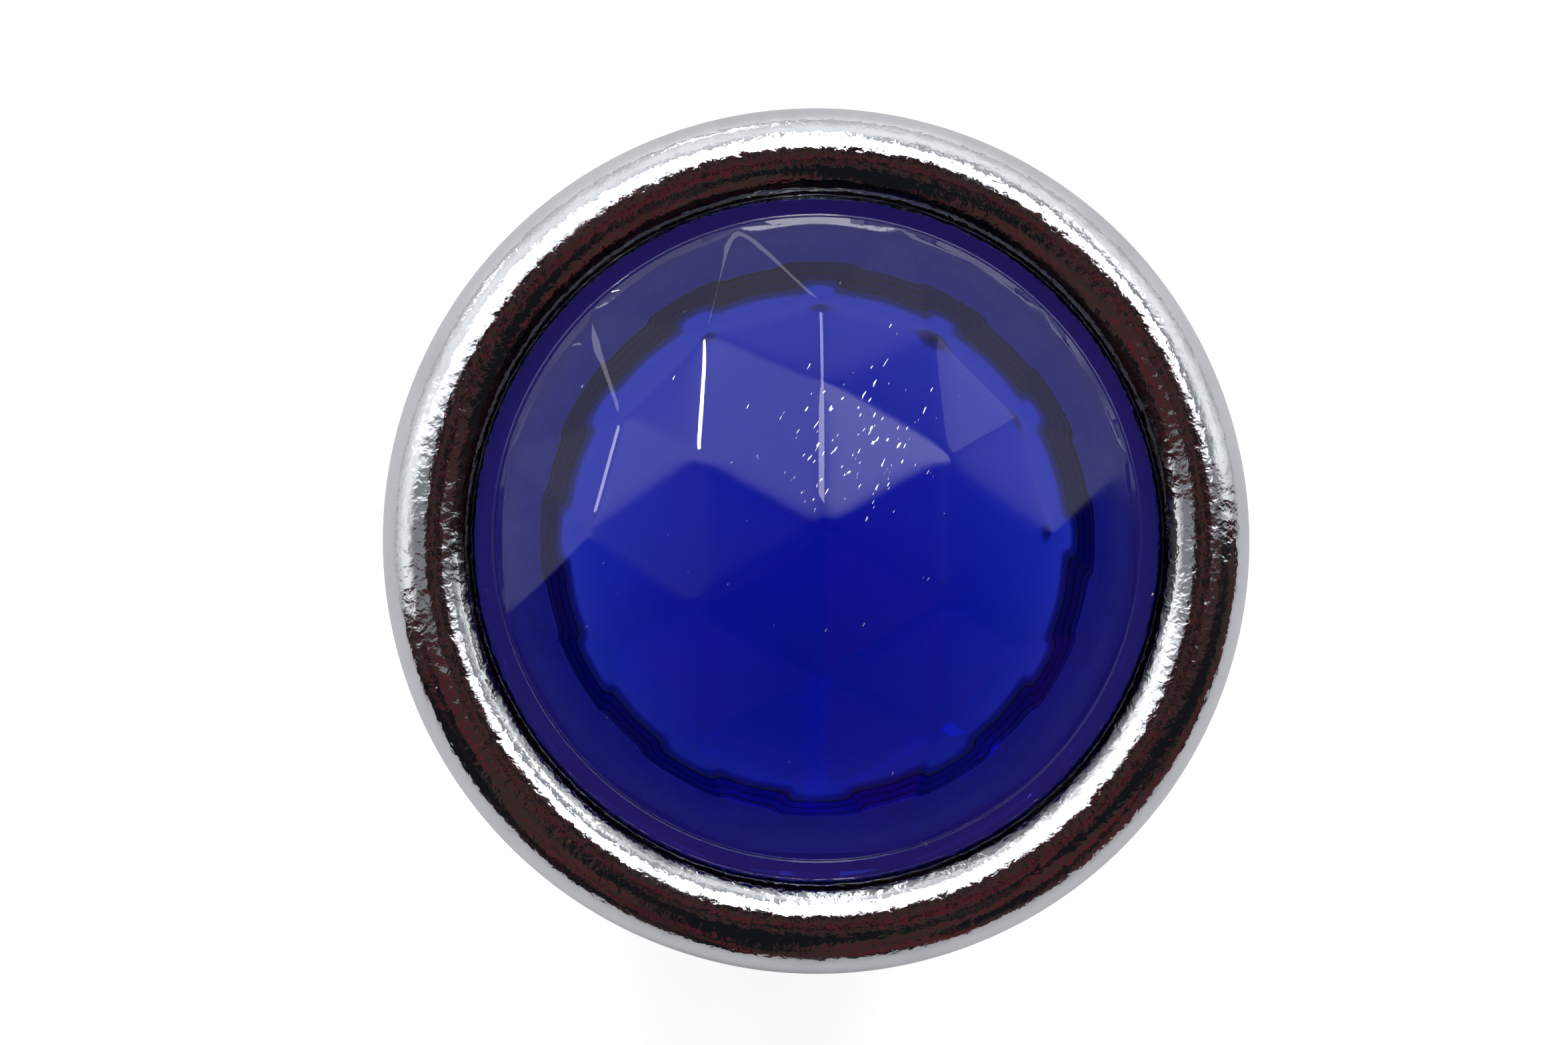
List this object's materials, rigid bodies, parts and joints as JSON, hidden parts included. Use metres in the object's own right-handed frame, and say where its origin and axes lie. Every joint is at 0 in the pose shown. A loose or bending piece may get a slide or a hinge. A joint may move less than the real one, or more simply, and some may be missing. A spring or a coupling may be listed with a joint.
{
  "type": "panel indicator lamp",
  "caption": "Round panel indicator lamp: a faceted blue glass jewel in a rounded chrome screw cap, on a threaded bushing with nut, open lamp holder, bayonet lamp and solder lugs.",
  "frame": {"origin": "on the axis, in the plane where the flange seats on the front of the panel", "axes": "+Z along the axis, out of the jewel towards the viewer; X across the two legs of the holder frame, with the frame's solder lug on +X; +Y is the top of the pictured face"},
  "size_m": [0.0254, 0.0254, 0.052],
  "materials": {
    "chrome_plate": "polished chrome with fine orange peel and pitting",
    "blue_glass": "pressed cobalt-blue glass, rounded facet edges, fine scratches",
    "spring_steel": "plated spring steel",
    "pale_rubber": "matt",
    "opal_glass": "matt white opal glass",
    "nickel_plate": "nickel plated, satin",
    "plated_steel": "zinc plated",
    "red_fibre": "vulcanised fibre, matt",
    "bare_brass": "satin",
    "tinned_brass": "tinned",
    "clear_glass": "clear",
    "black_glass": "glossy black glass",
    "solder": "soft solder",
    "lead_wire": "drawn wire"
  },
  "bodies": {
    "housing": {"bushing": "nickel_plate", "diffuser": "opal_glass", "holder_frame": "plated_steel", "socket_shell": "nickel_plate", "insulator_bush": "red_fibre", "insulator_washer": "red_fibre", "live_rivet": "bare_brass", "live_terminal": "tinned_brass", "frame_terminal": "tinned_brass", "frame_rivet": "bare_brass", "contact_spring": "spring_steel"},
    "seal": {"gasket": "pale_rubber"},
    "cap": {"bezel": "chrome_plate", "jewel": "blue_glass", "snap_ring": "spring_steel"},
    "washer": {"lock_washer": "spring_steel"},
    "nut": {"mounting_nut": "nickel_plate"},
    "plunger": {"contact_disc": "red_fibre", "contact_button": "bare_brass"},
    "lamp": {"lamp_glass": "clear_glass", "lamp_base": "bare_brass", "lamp_pins": "bare_brass", "lamp_insulator": "black_glass", "lamp_tip": "solder", "lamp_bead": "clear_glass", "lamp_leads": "lead_wire", "filament": "lead_wire"}
  },
  "joints": [
    {"name": "cap_turn", "type": "hinge", "parent": "housing", "child": "seal", "pos_m": [0, 0, 0.0046], "axis": [0, 0, 1], "range_deg": [0, 900]},
    {"name": "cap_travel", "type": "slide", "parent": "seal", "child": "cap", "axis": [0, 0, 1], "range_m": [0, 0.0025]},
    {"name": "nut_travel", "type": "slide", "parent": "housing", "child": "washer", "axis": [0, 0, 1], "range_m": [-0.00799, 0.00141]},
    {"name": "nut_turn", "type": "hinge", "parent": "washer", "child": "nut", "pos_m": [0, 0, -0.0048], "axis": [0, 0, 1], "range_deg": [-3060, 540]},
    {"name": "contact_travel", "type": "slide", "parent": "housing", "child": "plunger", "axis": [0, 0, 1], "range_m": [-0.0009, 0], "stiffness_N_per_m": 400, "springref_m": 0.002, "deforming": ["contact_spring"]},
    {"name": "lamp_turn", "type": "hinge", "parent": "plunger", "child": "lamp", "pos_m": [0, 0, -0.0188], "axis": [0, 0, 1], "range_deg": [0, 38]}
  ],
  "couplings": [
    {"joint": "cap_turn", "follows": "cap_travel", "rad_per_m": 6283.2},
    {"joint": "nut_turn", "follows": "nut_travel", "rad_per_m": 6684.2},
    {"joint": "lamp_turn", "follows": "contact_travel", "rad_per_m": -736.92}
  ]
}
